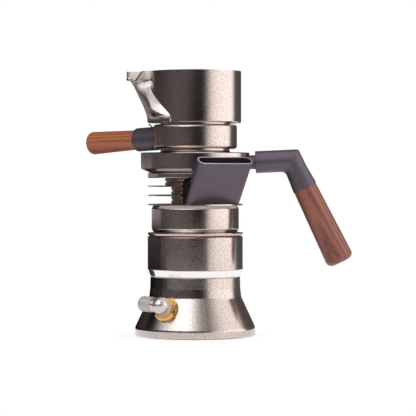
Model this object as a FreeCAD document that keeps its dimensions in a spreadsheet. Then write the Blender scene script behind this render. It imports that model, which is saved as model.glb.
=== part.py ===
import FreeCAD, Part
import math
import os
import Sketcher
from FreeCAD import Placement, Rotation, Vector

# A stovetop espresso maker with two boilers, in millimetres.
# The origin is the centre of the face that touches the hob and +Z points up.
# The long handle points along +X and the pouring spout points almost the other way.

# Driving dimensions. Radii are outside radii unless the name says otherwise.
SIZES = {
    # base boiler
    "plate_radius": 47.0,
    "plate_thick": 5.0,
    "plate_proud": 0.8,
    "foot_radius": 51.8,
    "foot_band": 6.8,
    "crease_radius": 39.7,
    "crease_height": 33.5,
    "upper_crease_radius": 38.75,
    "upper_crease_height": 41.7,
    "rim_radius": 38.5,
    "rim_height": 51.2,
    "base_wall": 2.9,
    "floor_lip": 2.0,
    "thread_radius": 35.0,
    "thread_depth": 10.2,
    # relief valve: the bush and the ball lie on an axis that starts at the centre line,
    # and the cap lies on a second axis that starts at the ball's centre
    "valve_axis_height": 5.7,
    "valve_boss_radius": 12.6,
    "valve_boss_start": 38.0,
    "bush_seat": 46.4,
    "bush_face": 51.9,
    "bush_radius": 10.5,
    "bush_shank": 6.8,
    "valve_thread": 4.6,
    "valve_inlet": 2.0,
    "hexagon_flats": 14.6,
    "hexagon_long": 4.2,
    "ball_centre": 58.8,
    "ball_radius": 7.3,
    "valve_seat": 3.0,
    "shoulder_radius": 6.1,
    "spigot_radius": 5.0,
    "spigot_end": 12.5,
    "valve_chamber": 3.6,
    "cap_start": 7.7,
    "cap_end": 20.0,
    "cap_radius": 6.5,
    "cap_round": 3.4,
    "cap_top": 4.0,
    "poppet_radius": 3.1,
    "poppet_head": 1.6,
    "poppet_stem": 1.1,
    "poppet_end": 12.5,
    "spring_radius": 2.4,
    "spring_wire": 0.5,
    # outlet valve
    "outlet_wire": 0.6,
    # second boiler
    "seal_thick": 0.8,
    "seal_width": 2.8,
    "ring_height": 5.2,
    "body_radius": 40.9,
    "body_height": 28.5,
    "body_floor": 3.8,
    "spigot_wall": 3.4,
    "spigot_depth": 9.0,
    "body_wall": 3.9,
    "gasket_inset": 1.3,
    "gasket_thick": 1.2,
    "seam_proud": 0.1,
    "seam_thick": 2.1,
    "collar_step": 3.4,
    "collar_height": 23.5,
    "collar_bevel": 1.4,
    "collar_undercut": 4.1,
    "collar_slope": 2.0,
    "collar_wall": 1.8,
    "collar_tail": 9.0,
    "collar_top": 3.0,
    "pipe_radius": 4.0,
    "pipe_bore": 2.8,
    "pipe_gap": 9.0,
    "coil_gap": 2.6,
    "coil_tube": 3.0,
    "coil_pitch": 7.5,
    "coil_turns": 4.0,
    "block_height": 8.0,
    "block_width": 10.0,
    # heat sink
    "fin_radius": 40.7,
    "fin_thick": 1.0,
    "core_radius": 20.7,
    "core_height": 6.9,
    "top_core_radius": 26.0,
    "top_core_height": 6.5,
    "rib_depth": 1.2,
    "rib_round": 1.1,
    "rib_width": 0.8,
    "top_plate_radius": 40.8,
    "top_plate_thick": 4.3,
    # group flange and what sits in it
    "flange_radius": 46.7,
    "flange_height": 17.5,
    "flange_bevel": 3.8,
    "flange_under": 38.7,
    "neck_radius": 29.6,
    "neck_height": 12.5,
    "basket_bore": 26.0,
    "basket_depth": 20.0,
    "outlet_bore": 7.0,
    "outlet_seat": 3.0,
    "outlet_seat_up": 3.5,
    "shower_thick": 1.5,
    "shower_hole": 1.0,
    "basket_gap": 0.3,
    "basket_under": 1.2,
    "basket_wall": 0.7,
    "basket_rim": 28.6,
    "basket_rim_thick": 1.2,
    "basket_hole": 0.7,
    "seal_bore": 24.6,
    "top_seal_thick": 2.2,
    "screen_thick": 1.2,
    "outlet_poppet": 5.6,
    "outlet_spring": 4.2,
    # jug and clamp ring
    "clamp_radius": 35.9,
    "clamp_height": 20.8,
    "clamp_lift": 3.3,
    "clamp_bevel": 2.4,
    "clamp_shoulder": 4.3,
    "clamp_tab_long": 5.0,
    "clamp_tab_wide": 5.0,
    "clamp_tab_thick": 1.0,
    "thread_clearance": 0.1,
    "foot_radius_jug": 29.2,
    "foot_thick": 3.8,
    "throat_radius": 23.6,
    "spacer_radius": 30.0,
    "spacer_gap": 0.15,
    "jug_radius": 39.5,
    "jug_wall": 1.8,
    "jug_floor": 2.4,
    "jug_height": 44.2,
    "jug_gap": 1.4,
    "column_radius": 7.0,
    "column_bore": 4.0,
    "column_height": 18.6,
    "column_base": 12.0,
    "column_hole": 1.8,
    # spout
    "spout_foot_reach": 1.9,
    "spout_reach": 15.5,
    "spout_lip_reach": 20.6,
    "spout_lip_half": 7.0,
    "spout_lip_height": 8.7,
    "spout_lip_ease": 5.0,
    "channel_reach": 8.5,
    "lip_floor": 2.0,
    "spout_foot_spread": 33.5,
    # short handle, measured along its own axis from the centre line
    "short_axis_height": 172.3,
    "ferrule_radius": 10.3,
    "ferrule_end": 64.0,
    "ferrule_bevel": 0.8,
    "short_grip_root": 8.5,
    "short_grip_tip": 10.1,
    "short_grip_end": 117.5,
    "short_grip_round": 2.4,
    "stud_radius": 3.0,
    "stud_start": 31.5,
    "stud_end": 78.0,
    # long handle
    "handle_up": 9.3,
    "handle_neck": 6.0,
    "neck_in_elbow": 1.0,
    "stud_short": 8.0,
    "bore_run": 5.0,
    "elbow_start": 51.9,
    "elbow_radius": 9.45,
    "elbow_corner": 83.0,
    "elbow_rise": 1.4,
    "elbow_inside": 5.0,
    "elbow_outside": 2.5,
    "arm_long": 26.1,
    "arm_radius": 10.7,
    "long_grip_root": 10.2,
    "long_grip_tip": 12.2,
    "long_grip_long": 70.9,
    "long_grip_round": 5.0,
    "rod_end": 82.0,
    # thumb guard
    "guard_reach": 32.7,
    "guard_width": 51.4,
    "guard_deep": 10.3,
    "guard_wall": 1.0,
    "guard_long": 41.4,
    "guard_clearance": 0.3,
    "guard_notch": 28.5,
    "guard_shift": 1.4,
    "guard_block_half": 24.6,
    "guard_block_round": 6.0,
    "screw_radius": 1.5,
    "screw_head": 2.8,
    "screw_apart": 13.0,
    "screw_height": 13.6,
    "screw_long": 7.0,
    "screw_head_thick": 1.6,
    "fit": 0.05,
}

# Directions, in degrees about +Z from +X, and tilts from level
VALVE_AZIMUTH = 237.5
VALVE_TILT = 23.0
CAP_TILT = 4.0
SHORT_HANDLE_AZIMUTH = 142.0
SHORT_HANDLE_DROOP = -2.7
GUARD_AZIMUTH = 298.0
GUARD_LEAN = 34.0
SPOUT_AZIMUTH = 184.0
TAB_AZIMUTH = 178.0
MOUTH_TURN = 43.0
ARM_FROM_VERTICAL = 26.0

# Sections of the spout's flute: share of its height, of its reach and of its spread
FLUTE = (
    (0.0, 0.0, 1.0), (0.12, 0.05, 0.94), (0.25, 0.12, 0.85), (0.38, 0.22, 0.73), (0.51, 0.355, 0.54),
    (0.64, 0.51, 0.33), (0.76, 0.66, 0.14), (0.88, 0.82, 0.03), (1.0, 1.0, 0.0),
)

document = FreeCAD.newDocument("espresso_maker")
sheet = document.addObject("Spreadsheet::Sheet", "Sizes")
nodes = []


class Size:
    """A length together with the spreadsheet expression that gives it."""

    def __init__(self, value, text):
        self.value = value
        self.text = text

    def join(self, sign, other, value):
        return Size(value, f"({self.text} {sign} {as_size(other).text})")

    def __add__(self, other):
        return self.join("+", other, self.value + as_size(other).value)

    def __sub__(self, other):
        return self.join("-", other, self.value - as_size(other).value)

    def __mul__(self, other):
        return self.join("*", other, self.value * as_size(other).value)

    def __truediv__(self, other):
        return self.join("/", other, self.value / as_size(other).value)


def as_size(thing):
    """A plain number becomes a Size whose expression is the number itself."""
    return thing if isinstance(thing, Size) else Size(float(thing), f"{float(thing):.6f}")


class Sizes:
    """Reads the driving dimensions as size.name."""

    def __getattr__(self, name):
        return Size(SIZES[name], f"Sizes.{name}")


def fill_sheet():
    for row, (name, value) in enumerate(SIZES.items(), start=1):
        sheet.set(f"A{row}", name)
        sheet.set(f"B{row}", str(value))
        sheet.setAlias(f"B{row}", name)
    document.recompute()


size = Sizes()
fill_sheet()

# Radii of the second boiler, from its drum inward
casing_bore = size.body_radius - size.body_wall
gasket_radius = size.body_radius - size.gasket_inset
seam_radius = size.body_radius + size.seam_proud
collar_radius = size.body_radius - size.collar_step
collar_neck = collar_radius - size.collar_undercut
collar_bore = collar_neck - size.collar_wall
winding_radius = collar_bore - size.coil_gap - size.block_width / 2

# Heights of the stack, from the hob up. Each rests on the one below.
rim_top = size.rim_height
seal_top = rim_top + size.seal_thick
ring_top = seal_top + size.ring_height
body_top = ring_top + size.body_height
gasket_top = body_top + size.gasket_thick
seam_top = gasket_top + size.seam_thick
collar_top = seam_top + size.collar_height
lower_fin_top = collar_top + size.fin_thick
lower_core_top = lower_fin_top + size.core_height
middle_fin_top = lower_core_top + size.fin_thick
middle_core_top = middle_fin_top + size.core_height
upper_fin_top = middle_core_top + size.fin_thick
upper_core_top = upper_fin_top + size.top_core_height
plate_top = upper_core_top + size.top_plate_thick
flange_top = plate_top + size.flange_height
handle_height = plate_top + size.handle_up
neck_top = flange_top + size.neck_height
cavity_floor = neck_top - size.basket_depth
shower_top = cavity_floor + size.shower_thick
basket_rim_top = neck_top + size.basket_rim_thick
basket_floor = shower_top + size.basket_under
seal_face = basket_rim_top + size.top_seal_thick
foot_top = seal_face + size.foot_thick
clamp_bottom = flange_top + size.clamp_lift
clamp_top = clamp_bottom + size.clamp_height
jug_bottom = clamp_top + size.jug_gap
jug_top = jug_bottom + size.jug_height
jug_floor_top = jug_bottom + size.jug_floor


def set_size(thing, name, value):
    """Bind one property to a spreadsheet expression."""
    thing.setExpression(name, as_size(value).text)


def direction(azimuth, tilt=0.0):
    turn, rise = math.radians(azimuth), math.radians(tilt)
    flat = math.cos(rise)
    return Vector(flat * math.cos(turn), flat * math.sin(turn), math.sin(rise))


def along(height, azimuth, tilt):
    """A placement whose local +Z runs outward from the centre line at this height."""
    base = Vector(0, 0, as_size(height).value)
    return Placement(base, Rotation(Vector(0, 0, 1), direction(azimuth, tilt)))


def keep(thing, label):
    """Name an object as one finished piece."""
    thing.Label = label
    nodes.append(thing)
    return thing


def origin_plane(body, role):
    return next(plane for plane in body.Origin.OriginFeatures if plane.Role == role)


def new_sketch(body, plane, offset=0.0):
    sketch = body.newObject("Sketcher::SketchObject", f"{body.Name}_sketch")
    sketch.AttachmentSupport = (origin_plane(body, plane), [""])
    sketch.MapMode = "FlatFace"
    if isinstance(offset, Size):
        sketch.setExpression("AttachmentOffset.Base.z", offset.text)
    return sketch


def hold_point(sketch, line, a, b):
    """Fix the start of a line at the distances a and b from the sketch origin."""
    for kind, axis, distance in (("DistanceX", -2, as_size(a)), ("DistanceY", -1, as_size(b))):
        if distance.value == 0.0:
            sketch.addConstraint(Sketcher.Constraint("PointOnObject", line, 1, axis))
        else:
            rule = Sketcher.Constraint(kind, -1, 1, line, 1, distance.value)
            number = sketch.addConstraint(rule)
            sketch.setExpression(f"Constraints[{number}]", distance.text)


def draw_outline(sketch, corners):
    """A closed outline of straight lines through corners given as pairs of sizes."""
    spots = [Vector(as_size(a).value, as_size(b).value, 0) for a, b in corners]
    count = len(spots)
    for i in range(count):
        sketch.addGeometry(Part.LineSegment(spots[i], spots[(i + 1) % count]), False)
    for i in range(count):
        sketch.addConstraint(Sketcher.Constraint("Coincident", i, 2, (i + 1) % count, 1))
    for i, (a, b) in enumerate(corners):
        hold_point(sketch, i, a, b)


def draw_slot(sketch, half, radius):
    """A flat-sided oval: two level lines joined by two half circles."""
    reach, round_end = half.value, radius.value
    quarter = math.pi / 2
    up = Vector(0, 0, 1)
    right, left = Vector(reach, 0, 0), Vector(-reach, 0, 0)
    top = Part.LineSegment(Vector(-reach, round_end, 0), Vector(reach, round_end, 0))
    bottom = Part.LineSegment(Vector(reach, -round_end, 0), Vector(-reach, -round_end, 0))
    sketch.addGeometry(top, False)
    sketch.addGeometry(Part.ArcOfCircle(Part.Circle(right, up, round_end), -quarter, quarter), False)
    sketch.addGeometry(bottom, False)
    sketch.addGeometry(Part.ArcOfCircle(Part.Circle(left, up, round_end), quarter, 3 * quarter), False)
    for first, end, second, start in ((0, 2, 1, 2), (1, 1, 2, 1), (2, 2, 3, 2), (3, 1, 0, 1)):
        sketch.addConstraint(Sketcher.Constraint("Tangent", first, end, second, start))
    sketch.addConstraint(Sketcher.Constraint("Equal", 1, 3))
    sketch.addConstraint(Sketcher.Constraint("PointOnObject", 1, 3, -1))
    sketch.addConstraint(Sketcher.Constraint("PointOnObject", 3, 3, -1))
    for rule, text in (
        (Sketcher.Constraint("DistanceX", -1, 1, 1, 3, reach), half.text),
        (Sketcher.Constraint("DistanceX", 3, 3, -1, 1, reach), half.text),
        (Sketcher.Constraint("Radius", 1, round_end), radius.text),
    ):
        number = sketch.addConstraint(rule)
        sketch.setExpression(f"Constraints[{number}]", text)


def circle_edges(feature, spots):
    """Names of the circular edges at the given pairs of radius and height."""
    found = []
    for number, edge in enumerate(feature.Shape.Edges, start=1):
        if not isinstance(edge.Curve, Part.Circle):
            continue
        for radius, height in spots:
            same = abs(edge.Curve.Radius - as_size(radius).value) < 1e-3
            if same and abs(edge.Curve.Center.z - as_size(height).value) < 1e-3:
                found.append(f"Edge{number}")
    return found


def dress(body, kind, spots, amount):
    """Round or bevel circular edges of the body's last feature."""
    document.recompute()
    base = body.Tip
    names = circle_edges(base, spots)
    if len(names) < len(spots):
        raise RuntimeError(f"{body.Name}: an edge to dress is missing")
    feature = body.newObject(f"PartDesign::{kind}", f"{body.Name}_{kind.lower()}")
    feature.Base = (base, names)
    set_size(feature, "Radius" if kind == "Fillet" else "Size", amount)
    body.Tip = feature


def lathe(name, corners, place=None):
    """A body turned about its own Z axis from an outline of radius and height pairs."""
    body = document.addObject("PartDesign::Body", name)
    sketch = new_sketch(body, "XZ_Plane")
    draw_outline(sketch, corners)
    turn = body.newObject("PartDesign::Revolution", f"{name}_turn")
    turn.Profile = sketch
    turn.ReferenceAxis = (sketch, ["V_Axis"])
    turn.Angle = 360
    body.Tip = turn
    if place is not None:
        body.Placement = place
    return body


def pad(name, draw, length, place=None, plane="XY_Plane"):
    """A body pushed out of a sketch, which draw fills."""
    body = document.addObject("PartDesign::Body", name)
    sketch = new_sketch(body, plane)
    draw(sketch)
    push = body.newObject("PartDesign::Pad", f"{name}_pad")
    push.Profile = sketch
    set_size(push, "Length", length)
    body.Tip = push
    if place is not None:
        body.Placement = place
    return body


def tube(name, inside, outside, bottom, top, place=None):
    """A plain ring or tube."""
    corners = [(inside, bottom), (outside, bottom), (outside, top), (inside, top)]
    return lathe(name, corners, place)


def rod(name, radius, start, end, place=Placement()):
    """A cylinder along the placement's own Z from start to end."""
    cylinder = document.addObject("Part::Cylinder", name)
    set_size(cylinder, "Radius", radius)
    set_size(cylinder, "Height", as_size(end) - start)
    shift = Placement(Vector(0, 0, as_size(start).value), Rotation())
    cylinder.Placement = place.multiply(shift)
    return cylinder


def cut(name, base, *tools):
    """The base less each tool."""
    for number, tool in enumerate(tools):
        result = document.addObject("Part::Cut", f"{name}_{number}")
        result.Base = base
        result.Tool = tool
        base = result
    return base


def join(name, *pieces):
    result = document.addObject("Part::MultiFuse", name)
    result.Shapes = list(pieces)
    return result


def feature(name, shape, place=None):
    """A piece whose shape comes from the Part functions."""
    thing = document.addObject("Part::Feature", name)
    thing.Shape = shape
    if place is not None:
        thing.Placement = place
    return thing


def drill(body, radius, spots, plane="XY_Plane"):
    """Round holes through a body, at pairs of x and y in the given plane."""
    document.recompute()
    before = body.Tip.Shape.Volume
    sketch = new_sketch(body, plane)
    for x, y in spots:
        number = sketch.addGeometry(Part.Circle(Vector(x, y, 0), Vector(0, 0, 1), radius.value), False)
        rule = sketch.addConstraint(Sketcher.Constraint("Radius", number, radius.value))
        sketch.setExpression(f"Constraints[{rule}]", radius.text)
    pocket = body.newObject("PartDesign::Pocket", f"{body.Name}_holes")
    pocket.Profile = sketch
    pocket.Type = "ThroughAll"
    pocket.Midplane = True
    body.Tip = pocket
    document.recompute()
    if pocket.Shape.Volume >= before:
        raise RuntimeError(f"{body.Name}: the holes cut nothing")


def ring_of(radius, count, turn=0.0):
    """Places evenly spaced on a circle."""
    step = 2 * math.pi / count
    start = math.radians(turn)
    return [
        (radius * math.cos(start + i * step), radius * math.sin(start + i * step))
        for i in range(count)
    ]


def helix_tube(name, coil_radius, tube_radius, pitch, turns, place):
    """A round wire or tube wound into a helix about the placement's Z."""
    path = Part.Wire(Part.makeHelix(pitch, pitch * turns, coil_radius).Edges)
    slope = Vector(0, 2 * math.pi * coil_radius, pitch)
    section = Part.Wire(Part.makeCircle(tube_radius, Vector(coil_radius, 0, 0), slope))
    wound = path.makePipeShell([section], True, True)
    gap = pitch * math.cos(math.atan2(pitch, 2 * math.pi * coil_radius)) - 2 * tube_radius
    print(f"{name}: least gap between turns {gap:.2f} mm")
    return feature(name, wound, place)


# Base boiler: a flared shell closed below by the plate that touches the hob
def base_group():
    wall = size.base_wall
    foot_top = size.foot_band + size.plate_proud
    outside = lathe("base_outside", [
        (0, size.plate_proud), (size.foot_radius, size.plate_proud), (size.foot_radius, foot_top),
        (size.crease_radius, size.crease_height), (size.upper_crease_radius, size.upper_crease_height),
        (size.rim_radius, rim_top), (0, rim_top),
    ])
    dress(outside, "Fillet", [(size.foot_radius, foot_top)], 6.0)
    dress(outside, "Fillet", [(size.crease_radius, size.crease_height)], 5.0)
    dress(outside, "Chamfer", [(size.foot_radius, size.plate_proud), (size.rim_radius, rim_top)], 0.6)
    ledge = size.plate_thick
    lip = size.plate_radius - size.floor_lip
    thread_end = rim_top - size.thread_depth
    inside = lathe("base_cavity", [
        (0, 0), (size.plate_radius, 0), (size.plate_radius, ledge), (lip, ledge), (lip, ledge + wall),
        (size.foot_radius - wall * 1.7, foot_top + wall), (size.crease_radius - wall, size.crease_height),
        (size.thread_radius, thread_end), (size.thread_radius, rim_top + 1), (0, rim_top + 1),
    ])
    boss = rod("valve_boss", size.valve_boss_radius, size.valve_boss_start, size.bush_face, valve_place)
    pocket = rod("bush_pocket", size.bush_radius + 0.1, size.bush_seat, size.bush_face + 20, valve_place)
    bore = rod("bush_bore", size.bush_shank, size.valve_boss_start - 5, size.bush_face, valve_place)
    hollow = cut("base_hollow", inside, boss)
    keep(cut("base_boiler", outside, hollow, pocket, bore), "base_boiler")
    plate = lathe("base_plate", [
        (0, 0), (size.plate_radius, 0), (size.plate_radius, ledge), (0, ledge),
    ])
    dress(plate, "Chamfer", [(size.plate_radius, 0)], 0.6)
    keep(plate, "base_plate")


# Relief valve: a ball-shaped body screwed into a brass bush, with a sprung poppet under a side cap
def relief_valve():
    face = size.bush_face
    bush = lathe("valve_bush", [
        (size.valve_thread, size.valve_boss_start), (size.bush_shank, size.valve_boss_start),
        (size.bush_shank, size.bush_seat), (size.bush_radius, size.bush_seat),
        (size.bush_radius, face), (size.valve_thread, face),
    ], valve_place)
    dress(bush, "Chamfer", [(size.bush_radius, face)], 1.2)
    keep(bush, "valve_bush")
    corner = size.hexagon_flats.value / 2 / math.cos(math.pi / 6)
    side = valve_place.Rotation.inverted().multVec(direction(VALVE_AZIMUTH - 90, CAP_TILT))
    first = math.atan2(side.y, side.x) + math.pi / 6
    turns = [first + math.pi / 3 * i for i in range(7)]
    flats = Part.Wire(Part.makePolygon([
        Vector(corner * math.cos(turn), corner * math.sin(turn), face.value) for turn in turns
    ]))
    prism = Part.Face(flats).extrude(Vector(0, 0, size.hexagon_long.value))
    hexagon = feature("valve_hexagon", prism, valve_place)
    stem = rod("valve_stem", size.valve_thread, size.valve_boss_start, face + 1, valve_place)
    ball = document.addObject("Part::Sphere", "valve_ball")
    set_size(ball, "Radius", size.ball_radius)
    ball.Placement = cap_place
    shoulder = rod("valve_shoulder", size.shoulder_radius, 0, size.cap_start, cap_place)
    spigot = rod("valve_spigot", size.spigot_radius, 0, size.spigot_end, cap_place)
    inlet = rod("valve_way_in", size.valve_inlet, size.valve_boss_start - 1, size.ball_centre, valve_place)
    port = rod("valve_port", size.valve_inlet, -1, size.valve_seat + 1, cap_place)
    chamber = rod("valve_room", size.valve_chamber, size.valve_seat, size.spigot_end + 1, cap_place)
    solid = join("valve_solid", stem, hexagon, ball, shoulder, spigot)
    keep(cut("valve_body", solid, inlet, port, chamber), "valve_body")
    bore = size.spigot_radius + size.fit
    inner_end = size.cap_end - size.cap_top
    cap = lathe("valve_cap", [
        (bore, size.cap_start), (size.cap_radius, size.cap_start), (size.cap_radius, size.cap_end),
        (0, size.cap_end), (0, inner_end), (size.valve_chamber, inner_end),
        (size.valve_chamber, size.spigot_end), (bore, size.spigot_end),
    ], cap_place)
    dress(cap, "Fillet", [(size.cap_radius, size.cap_end)], size.cap_round)
    keep(cap, "valve_cap")
    seat = size.valve_seat
    head = seat + size.poppet_head
    keep(lathe("valve_poppet", [
        (0, seat), (size.poppet_radius, seat), (size.poppet_radius, head),
        (size.poppet_stem, head), (size.poppet_stem, size.poppet_end), (0, size.poppet_end),
    ], cap_place), "valve_poppet")
    coils = 6
    wire = size.spring_wire.value
    start = cap_place.multiply(Placement(Vector(0, 0, head.value + wire), Rotation()))
    free = (inner_end - head).value - 2 * wire
    keep(helix_tube("valve_spring", size.spring_radius.value, wire, free / coils, coils, start),
         "valve_spring")


# Second boiler: drum, gasket, seam flange and collar around the wound heating tube
def second_boiler():
    keep(tube("boiler_seal", size.thread_radius, size.thread_radius + size.seal_width, rim_top, seal_top),
         "boiler_seal")
    spigot = size.thread_radius - size.thread_clearance
    ring = lathe("neck_ring", [
        (spigot, seal_top), (size.rim_radius, seal_top), (size.body_radius - 0.6, ring_top), (spigot, ring_top),
    ])
    keep(ring, "neck_ring")
    bore = size.pipe_radius
    spigot_bottom = rim_top - size.spigot_depth
    drum = lathe("lower_body", [
        (spigot - size.spigot_wall, spigot_bottom), (spigot, spigot_bottom), (spigot, ring_top),
        (size.body_radius, ring_top), (size.body_radius, body_top), (casing_bore, body_top),
        (casing_bore, ring_top + size.body_floor), (bore, ring_top + size.body_floor),
        (bore, ring_top - 1.2), (spigot - size.spigot_wall, ring_top - 1.2),
    ])
    dress(drum, "Chamfer", [(size.body_radius, ring_top), (size.body_radius, body_top)], 0.5)
    keep(drum, "lower_body")
    keep(tube("seam_gasket", casing_bore, gasket_radius, body_top, gasket_top), "seam_gasket")
    seam = tube("seam_flange", casing_bore, seam_radius, gasket_top, seam_top)
    dress(seam, "Chamfer", [(seam_radius, seam_top)], 0.4)
    keep(seam, "seam_flange")
    collar = lathe("collar", [
        (collar_bore, seam_top - size.collar_tail), (casing_bore, seam_top - size.collar_tail),
        (casing_bore, seam_top), (collar_neck, seam_top),
        (collar_radius, seam_top + size.collar_slope), (collar_radius, collar_top - size.collar_bevel),
        (collar_radius - size.collar_bevel, collar_top), (bore, collar_top),
        (bore, collar_top - size.collar_top), (collar_bore, collar_top - size.collar_top),
    ])
    keep(collar, "collar")
    dip_top = ring_top + size.body_floor
    keep(tube("dip_tube", size.pipe_bore, bore, size.plate_thick + size.pipe_gap, dip_top), "dip_tube")
    keep(tube("riser_tube", size.pipe_bore, bore, collar_top - size.collar_top, plate_top + 2), "riser_tube")


# Heating tube: wound coil between an inlet block on the floor and an outlet block under the top
def heating_tube():
    floor = ring_top + size.body_floor
    ceiling = collar_top - size.collar_top
    half = size.block_width / 2
    reach = collar_bore - size.coil_gap
    face = size.coil_tube * 2

    def plan(sketch):
        draw_outline(sketch, [
            (half * -1, half * -1), (half, half * -1 - face), (reach, half * -1 - face), (reach, face * -1),
            (half, face * -1), (half, half), (half * -1, half),
        ])

    inlet = Placement(Vector(0, 0, floor.value), Rotation())
    keep(pad("inlet_block", plan, size.block_height, inlet), "inlet_block")
    flip = Placement(Vector(0, 0, ceiling.value), Rotation(Vector(1, 0, 0), 180))
    keep(pad("outlet_block", plan, size.block_height, flip), "outlet_block")
    low = floor.value + size.block_height.value / 2
    high = ceiling.value - size.block_height.value / 2
    turns = size.coil_turns.value
    pitch = (high - low) / turns
    radius, bore = winding_radius.value, size.coil_tube.value
    wound = Part.makeHelix(pitch, high - low, radius).Edges
    start, end = Vector(radius, 0, 0), Vector(radius, 0, high - low)
    tail = Vector(0, face.value, 0)
    path = Part.Wire([Part.makeLine(start - tail, start)] + wound + [Part.makeLine(end, end + tail)])
    section = Part.Wire(Part.makeCircle(bore, start - tail, Vector(0, 1, 0)))
    coil = path.makePipeShell([section], True, False)
    print(f"heat_coil: least gap between turns {pitch - 2 * bore:.2f} mm")
    keep(feature("heat_coil", coil, Placement(Vector(0, 0, low), Rotation())), "heat_coil")


# Heat sink: thin fins and ribbed cores threaded on the riser, under a thicker plate
def heat_sink(notch, guard_space):
    bore = size.pipe_radius
    for name, bottom, top, cuts in (
        ("lower_fin", collar_top, lower_fin_top, ()),
        ("middle_fin", lower_core_top, middle_fin_top, (notch,)),
        ("upper_fin", middle_core_top, upper_fin_top, (notch,)),
    ):
        disc = tube(f"{name}_disc" if cuts else name, bore, size.fin_radius, bottom, top)
        keep(cut(name, disc, *cuts), name)
    for name, bottom, top, radius, ribs in (
        ("lower_core", lower_fin_top, lower_core_top, size.core_radius, 2),
        ("middle_core", middle_fin_top, middle_core_top, size.core_radius, 2),
        ("upper_core", upper_fin_top, upper_core_top, size.top_core_radius, 2),
    ):
        keep(ribbed(name, bottom, top, radius, ribs), name)
    plate = tube("top_plate_disc", bore, size.top_plate_radius, upper_core_top, plate_top)
    rims = [(size.top_plate_radius, upper_core_top), (size.top_plate_radius, plate_top)]
    dress(plate, "Chamfer", rims, 0.6)
    keep(cut("top_plate", plate, guard_space), "top_plate")


def ribbed(name, bottom, top, radius, ribs):
    """A core with grooves turned in its rim, which leave evenly spaced ribs."""
    height = top - bottom
    step = (height + size.rib_width) / ribs
    corners = [(size.pipe_radius, bottom)]
    edges = []
    for i in range(ribs):
        low = bottom + step * i
        high = low + step - size.rib_width
        corners += [(radius, low), (radius, high)]
        edges += [(radius, low), (radius, high)]
        if i < ribs - 1:
            corners += [(radius - size.rib_depth, high), (radius - size.rib_depth, high + size.rib_width)]
    corners.append((size.pipe_radius, top))
    core = lathe(name, corners)
    dress(core, "Fillet", edges, size.rib_round)
    return core


# Group flange with the outlet valve and the shower plate below the coffee basket
def group(guard_space):
    bevel_top = plate_top + size.flange_bevel
    seat_top = plate_top + size.outlet_seat_up
    flange = lathe("flange_blank", [
        (size.pipe_radius, plate_top), (size.flange_under, plate_top), (size.flange_radius, bevel_top),
        (size.flange_radius, flange_top), (size.neck_radius, flange_top), (size.neck_radius, neck_top),
        (size.basket_bore, neck_top), (size.basket_bore, cavity_floor), (size.outlet_bore, cavity_floor),
        (size.outlet_bore, seat_top), (size.outlet_seat, seat_top), (size.outlet_seat, plate_top + 2),
        (size.pipe_radius, plate_top + 2),
    ])
    dress(flange, "Chamfer", [(size.flange_radius, flange_top), (size.neck_radius, neck_top)], 0.7)
    dress(flange, "Fillet", [(size.neck_radius, flange_top)], 2.2)
    stud_hole = rod("flange_stud_hole", size.stud_radius, size.stud_start, size.flange_radius, neck_place)
    keep(cut("group_flange", flange, guard_space, stud_hole), "group_flange")
    shower = lathe("shower_plate", [
        (0, cavity_floor), (size.basket_bore, cavity_floor), (size.basket_bore, shower_top), (0, shower_top),
    ])
    drill(shower, size.shower_hole, ring_of(6.0, 4) + ring_of(13.0, 8) + ring_of(20.0, 12))
    keep(shower, "shower_plate")
    head = seat_top + 1.4
    keep(lathe("outlet_poppet", [
        (0, seat_top), (size.outlet_poppet, seat_top), (size.outlet_poppet, head), (1.2, head),
        (1.2, head + 1.6), (0, head + 1.6),
    ]), "outlet_poppet")
    turns = 2
    wire = size.outlet_wire.value
    free = (cavity_floor - head).value - 2 * wire
    place = Placement(Vector(0, 0, head.value + wire), Rotation())
    keep(helix_tube("outlet_spring", size.outlet_spring.value, wire, free / turns, turns, place),
         "outlet_spring")


# Coffee basket with its seal, and the screen above it
def basket_parts():
    outer = size.basket_bore - size.basket_gap
    inner = outer - size.basket_wall
    basket = lathe("basket", [
        (0, basket_floor), (outer, basket_floor), (outer, neck_top), (size.basket_rim, neck_top),
        (size.basket_rim, basket_rim_top), (inner, basket_rim_top), (inner, basket_floor + size.basket_wall),
        (0, basket_floor + size.basket_wall),
    ])
    drill(basket, size.basket_hole, ring_of(5.0, 5) + ring_of(11.0, 10) + ring_of(17.0, 15))
    keep(basket, "basket")
    keep(tube("basket_seal", size.seal_bore, size.basket_rim, basket_rim_top, seal_face), "basket_seal")
    screen_radius = size.seal_bore - size.basket_gap
    screen = lathe("top_screen", [
        (0, seal_face - size.screen_thick), (screen_radius, seal_face - size.screen_thick),
        (screen_radius, seal_face), (0, seal_face),
    ])
    drill(screen, size.shower_hole, ring_of(5.0, 4, 30) + ring_of(11.0, 8) + ring_of(17.0, 12))
    keep(screen, "top_screen")


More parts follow.
